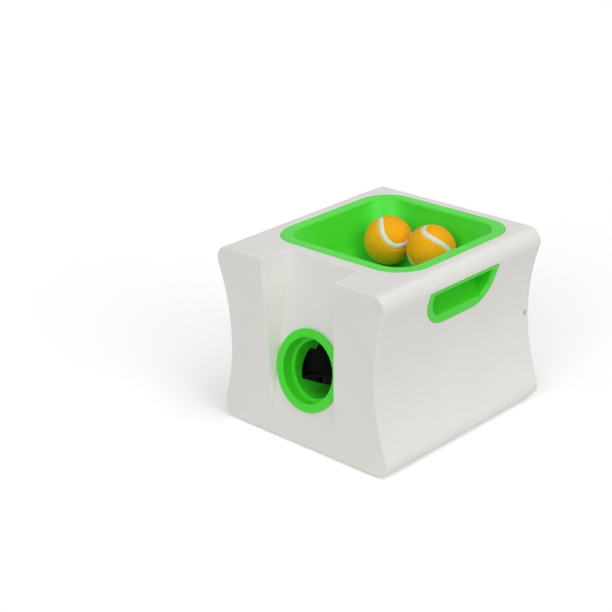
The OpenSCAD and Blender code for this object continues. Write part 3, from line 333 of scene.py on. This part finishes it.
# Bowl: place and radius of its bend, which is tighter at the front, and how square each ring is
BOWL_INSET, BOWL_R, BOWL_T = 19.5, 28, 2.5
BOWL_DEPTH = 53.5
BOWL_OUTER = 12
FRONT_R = 20
BEND_FROM, BEND_TO = 14.9, 84
INNER_STEPS, OUTER_STEPS = 12, 8
WALL_POWER, BOWL_POWER, BOTTOM_POWER = 5.0, 4.2, 3.4
# Drop hole: its fall below the bowl's bottom, radius, rounded edge and short spout
FALL = 3
DROP_R = 29
DROP_ROUND, DROP_STEPS = 1.2, 4
SPOUT_H = 10

rim_low, rim_high = (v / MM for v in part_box("hopper"))
top = rim_high.z
hopper_y = (rim_low.y + rim_high.y) / 2
rim_half_x = rim_high.x
rim_half_y = rim_high.y - hopper_y
chute_low, chute_high = (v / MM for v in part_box("drop_chute"))
chute_y = (chute_low.y + chute_high.y) / 2
bowl_z = top - BOWL_DEPTH
drop_z = bowl_z - FALL
spout_z = drop_z - BOWL_T


def oblong(inset, radius, z):
    """Ring of a rounded rectangle, a distance inside the rim's outline."""
    ring = []
    half_x = rim_half_x - inset - radius
    half_y = rim_half_y - inset - radius
    for corner, (side_x, side_y) in enumerate(((1, 1), (-1, 1), (-1, -1), (1, -1))):
        for j in range(CORNER_POINTS):
            a = math.radians(90 * corner + 90 * j / (CORNER_POINTS - 1))
            x = side_x * half_x + radius * math.cos(a)
            y = hopper_y + side_y * half_y + radius * math.sin(a)
            ring.append(Vector((x, y, z)) * MM)
    return ring


def soft_ring(inset, front_inset, power, z):
    """Ring inside the rim's outline, with its own inset at the front and corners that round off gradually."""
    ring = []
    for i in range(RING_POINTS):
        a = math.tau * (i + 0.5) / RING_POINTS
        x = math.copysign(abs(math.cos(a)) ** (2 / power), math.cos(a))
        y = math.copysign(abs(math.sin(a)) ** (2 / power), math.sin(a))
        half_y = rim_half_y - (front_inset if y < 0 else inset)
        ring.append(Vector(((rim_half_x - inset) * x, hopper_y + half_y * y, z)) * MM)
    return ring


def round_ring(radius, z):
    """Ring of a circle around the drop hole."""
    ring = []
    for i in range(RING_POINTS):
        a = math.tau * (i + 0.5) / RING_POINTS
        ring.append(Vector((radius * math.cos(a), chute_y + radius * math.sin(a), z)) * MM)
    return ring


def bowl_rings(grow, steps):
    """Rings down the bowl's wall and round its bottom, a distance outside its inner face."""
    found = []
    for i in range(steps + 1):
        a = math.radians(BEND_FROM + (BEND_TO - BEND_FROM) * i / steps)
        inset = BOWL_INSET + BOWL_R - (BOWL_R + grow) * math.cos(a)
        front_inset = BOWL_INSET + FRONT_R - (FRONT_R + grow) * math.cos(a)
        power = BOWL_POWER + (BOTTOM_POWER - BOWL_POWER) * i / steps
        found.append(soft_ring(inset, front_inset, power, bowl_z + BOWL_R - (BOWL_R + grow) * math.sin(a)))
    return found


rim_edge = arc((RIM_ROUND, -RIM_ROUND), RIM_ROUND, 180, 90, RIM_STEPS)
mouth_edge = arc((-MOUTH_BACK, -MOUTH_ROUND), MOUTH_ROUND, 90, MOUTH_END, MOUTH_STEPS)
drop_edge = arc((DROP_ROUND, -DROP_ROUND), DROP_ROUND, 90, 180, DROP_STEPS)
rings = [oblong(0, RIM_R, top - RIM_T), oblong(0, RIM_R, top - RIM_SIDE)]
rings += [oblong(x, RIM_R - x, top + z) for x, z in rim_edge]
rings += [oblong(RIM_W - MOUTH_FLAT, MOUTH_R + MOUTH_FLAT, top)]
rings += [oblong(RIM_W + x, MOUTH_R - x, top + z) for x, z in mouth_edge]
rings += [soft_ring(WALL_INSET, WALL_INSET, WALL_POWER, top - WALL_DEPTH)]
rings += bowl_rings(0, INNER_STEPS)
rings += [round_ring(DROP_R + x, drop_z + z) for x, z in drop_edge]
rings += [round_ring(DROP_R, spout_z - SPOUT_H), round_ring(DROP_R + BOWL_T, spout_z - SPOUT_H)]
rings += [round_ring(DROP_R + BOWL_T, spout_z)]
rings += reversed(bowl_rings(BOWL_T, OUTER_STEPS))
rings += [oblong(BOWL_OUTER, RIM_R - BOWL_OUTER, top - RIM_T)]
hopper_skin = piece_from(rings_to_mesh(rings), "hopper_skin", "casing", "green_plastic", ["hopper"])
hopper_normals = hopper_skin.modifiers.new("normals", "WEIGHTED_NORMAL")
hopper_normals.weight = HOPPER_WEIGHT


# Balls, turned as they lie in the photograph
BALL_TURN = {"ball_1": (-135.3, 48.3, 171.9), "ball_2": (24.0, -61.6, 30.6)}
BALL_DETAIL = 6
# Felt: room for its nap, then the nap's heights with their features per radius, and the groove for the seam
FELT_SUNK = 0.34
NAP = ((0.22, 60), (0.12, 130))
GROOVE_DEPTH, GROOVE_IN, GROOVE_SLOPE = 0.9, 0.4, 1.2
# Seam: its curve in radians, its half width, and its heights against the ball's radius
SEAM_POINTS = 360
SEAM_TILT, SEAM_WAVE = 0.74, 0.15
SEAM_HALF, SEAM_EDGE = 3.2, 0.3
SEAM_CROWN, SEAM_SHOULDER, SEAM_FOOT = -0.5, -0.62, -1.2
SEAM_PROFILE = (
    (-SEAM_HALF, SEAM_FOOT),
    (-SEAM_HALF + SEAM_EDGE, SEAM_SHOULDER),
    (0, SEAM_CROWN),
    (SEAM_HALF - SEAM_EDGE, SEAM_SHOULDER),
    (SEAM_HALF, SEAM_FOOT),
)


def seam_direction(s):
    """Unit vector along the closed curve of a tennis ball's seam, at an angle in radians."""
    lat = math.pi / 2 - (math.pi / 2 - SEAM_TILT) * math.cos(s)
    lon = s / 2 + SEAM_WAVE * math.sin(2 * s)
    return Vector((math.sin(lat) * math.cos(lon), math.sin(lat) * math.sin(lon), math.cos(lat)))


SEAM = [seam_direction(4 * math.pi * i / SEAM_POINTS) for i in range(SEAM_POINTS)]


def ball(node):
    """Felt ball with a groove, and the rubber seam that lies in it."""
    low, high = (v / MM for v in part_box(node))
    centre = (low + high) / 2
    radius = (high.z - low.z) / 2
    spin = Euler([math.radians(v) for v in BALL_TURN[node]], "XYZ").to_matrix()
    bm = bmesh.new()
    bmesh.ops.create_icosphere(bm, subdivisions=BALL_DETAIL, radius=1)
    for vert in bm.verts:
        way = vert.co.normalized()
        near = max(way.dot(point) for point in SEAM)
        off = math.acos(min(1, near)) * radius
        groove = GROOVE_DEPTH * max(0, 1 - max(0, off - SEAM_HALF + GROOVE_IN) / GROOVE_SLOPE)
        nap = sum(height * noise.noise(way * scale) for height, scale in NAP)
        vert.co = (centre + spin @ way * (radius - FELT_SUNK - groove + nap)) * MM
    for face in bm.faces:
        face.smooth = True
    piece_from(bm, node + "_felt", node, "ball_felt", [node])
    strips = []
    for i, way in enumerate(SEAM):
        ahead = (SEAM[(i + 1) % SEAM_POINTS] - SEAM[i - 1]).normalized()
        side = way.cross(ahead).normalized()
        strips.append([(centre + spin @ ((way * radius + side * across).normalized() * (radius + rise))) * MM
                       for across, rise in SEAM_PROFILE])
    piece_from(rings_to_mesh(strips), node + "_seam", node, "ball_felt", material="seam_rubber")


for node in BALL_TURN:
    ball(node)


# Floor and backdrop, white to the eye; the floor keeps the shadow
FLOOR_HALF = 6000 * MM
FLOOR_LIFT = 0.28
FLOOR_COLOUR = (0.9, 0.9, 0.9, 1)
WHITE = (1, 1, 1, 1)


def seen_directly(tree):
    """Socket that is 1 for camera, glossy and transmission rays, and 0 for the light that others bring."""
    sight = add(tree, "ShaderNodeLightPath").outputs
    seen = add(tree, "ShaderNodeMath", {0: sight["Is Camera Ray"], 1: sight["Is Glossy Ray"]},
               operation="MAXIMUM")
    seen = add(tree, "ShaderNodeMath", {0: seen.outputs[0], 1: sight["Is Transmission Ray"]},
               operation="MAXIMUM")
    return seen.outputs[0]


floor_corners = [(x * FLOOR_HALF, y * FLOOR_HALF, 0) for x, y in ((-1, -1), (1, -1), (1, 1), (-1, 1))]
floor_mesh = bpy.data.meshes.new("floor")
floor_mesh.from_pydata(floor_corners, [], [(0, 1, 2, 3)])
floor = bpy.data.objects.new("floor", floor_mesh)
scene.collection.objects.link(floor)
floor_material = bpy.data.materials.new("floor")
floor_material.use_nodes = True
tree = floor_material.node_tree
tree.nodes.clear()
lift = add(tree, "ShaderNodeMath", {0: seen_directly(tree), 1: FLOOR_LIFT}, operation="MULTIPLY")
paper = add(tree, "ShaderNodeBsdfDiffuse", {"Color": FLOOR_COLOUR})
glow = add(tree, "ShaderNodeEmission", {"Color": WHITE, "Strength": lift.outputs[0]})
both = add(tree, "ShaderNodeAddShader", {0: paper.outputs[0], 1: glow.outputs[0]})
add(tree, "ShaderNodeOutputMaterial", {"Surface": both.outputs[0]})
floor_mesh.materials.append(floor_material)

world = bpy.data.worlds.new("world")
scene.world = world
world.use_nodes = True
tree = world.node_tree
tree.nodes.clear()
sky = add(tree, "ShaderNodeBackground", {"Color": WHITE, "Strength": seen_directly(tree)})
add(tree, "ShaderNodeOutputWorld", {"Surface": sky.outputs[0]})


# Light: wide suns, each with its energy, its angle round from the front towards the right, and its height
SUN_SPREAD = math.radians(40)
SOFT_LIGHTS = {
    "front_light": (1.12, 15, 30),
    "right_light": (0.93, 85, 30),
    "high_light": (0.93, 85, 66),
    "rear_light": (0.45, 170, 48),
    "left_light": (0.45, -50, 48),
}
for name, (energy, round_by, height) in SOFT_LIGHTS.items():
    lamp = bpy.data.lights.new(name, "SUN")
    lamp.energy = energy
    lamp.angle = SUN_SPREAD
    holder = bpy.data.objects.new(name, lamp)
    scene.collection.objects.link(holder)
    holder.rotation_euler = (math.radians(90 - height), 0, math.radians(round_by))
